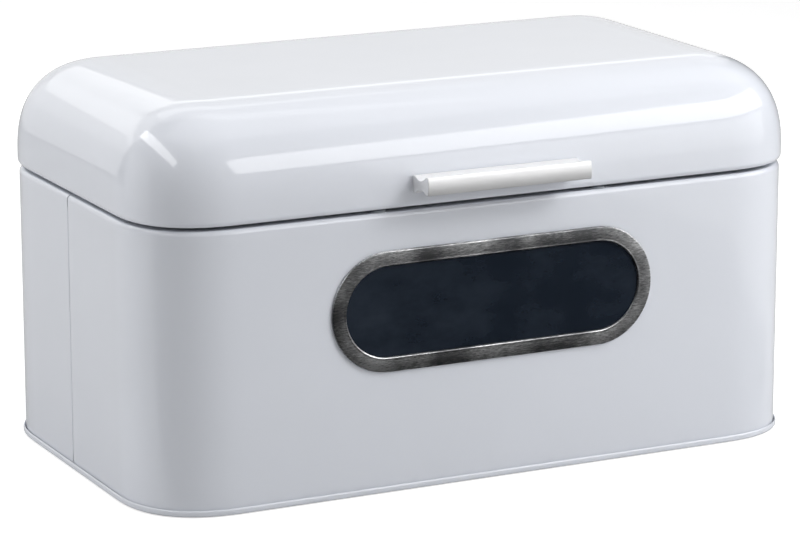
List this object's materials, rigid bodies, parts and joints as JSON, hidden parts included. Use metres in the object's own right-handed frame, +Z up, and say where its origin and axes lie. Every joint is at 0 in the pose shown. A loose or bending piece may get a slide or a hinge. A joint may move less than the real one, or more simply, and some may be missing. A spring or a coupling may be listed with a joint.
{
  "type": "bread bin with lift-up lid",
  "caption": "Box-shaped enamelled steel bread bin with rounded corners, a slot-shaped front window and a rear-hinged lid lifted by a metal bar handle.",
  "frame": {"origin": "middle of the whole object's footprint, on the surface the pads stand on", "axes": "+X to the right along the front, +Y to the back where the hinges are, +Z up"},
  "size_m": [0.4282, 0.2688, 0.2297],
  "materials": {
    "white_enamel": "gloss white enamel",
    "trim_steel": "brushed grey tinplate",
    "smoked_pane": "glossy smoked acrylic",
    "satin_aluminium": "satin anodised, extruded",
    "hinge_steel": "zinc-plated, satin",
    "pad_rubber": "matt black rubber",
    "clear_silicone": "clear soft silicone"
  },
  "bodies": {
    "body": {"front_wall": "white_enamel", "back_wall": "white_enamel", "base_pan": "white_enamel", "foot_pad_front_left": "pad_rubber", "foot_pad_front_right": "pad_rubber", "foot_pad_back_left": "pad_rubber", "foot_pad_back_right": "pad_rubber", "lid_buffer_left": "clear_silicone", "lid_buffer_right": "clear_silicone", "window_frame": "trim_steel", "window_pane": "smoked_pane", "window_retainer": "trim_steel", "hinge_body_leaf_left": "hinge_steel", "hinge_body_leaf_right": "hinge_steel", "hinge_pin_left": "hinge_steel", "hinge_pin_right": "hinge_steel", "body_leaf_rivet_1": "hinge_steel", "body_leaf_rivet_2": "hinge_steel", "body_leaf_rivet_3": "hinge_steel", "body_leaf_rivet_4": "hinge_steel"},
    "lid": {"lid_shell": "white_enamel", "handle_bar": "satin_aluminium", "handle_screw_left": "hinge_steel", "handle_screw_right": "hinge_steel", "handle_washer_left": "hinge_steel", "handle_washer_right": "hinge_steel", "hinge_lid_leaf_left": "hinge_steel", "hinge_lid_leaf_right": "hinge_steel", "lid_leaf_rivet_1": "hinge_steel", "lid_leaf_rivet_2": "hinge_steel", "lid_leaf_rivet_3": "hinge_steel", "lid_leaf_rivet_4": "hinge_steel"}
  },
  "joints": [
    {"name": "lid_hinge", "type": "hinge", "parent": "body", "child": "lid", "pos_m": [0, 0.13192, 0.1656], "axis": [-1, 0, 0], "range_deg": [0, 105]}
  ]
}
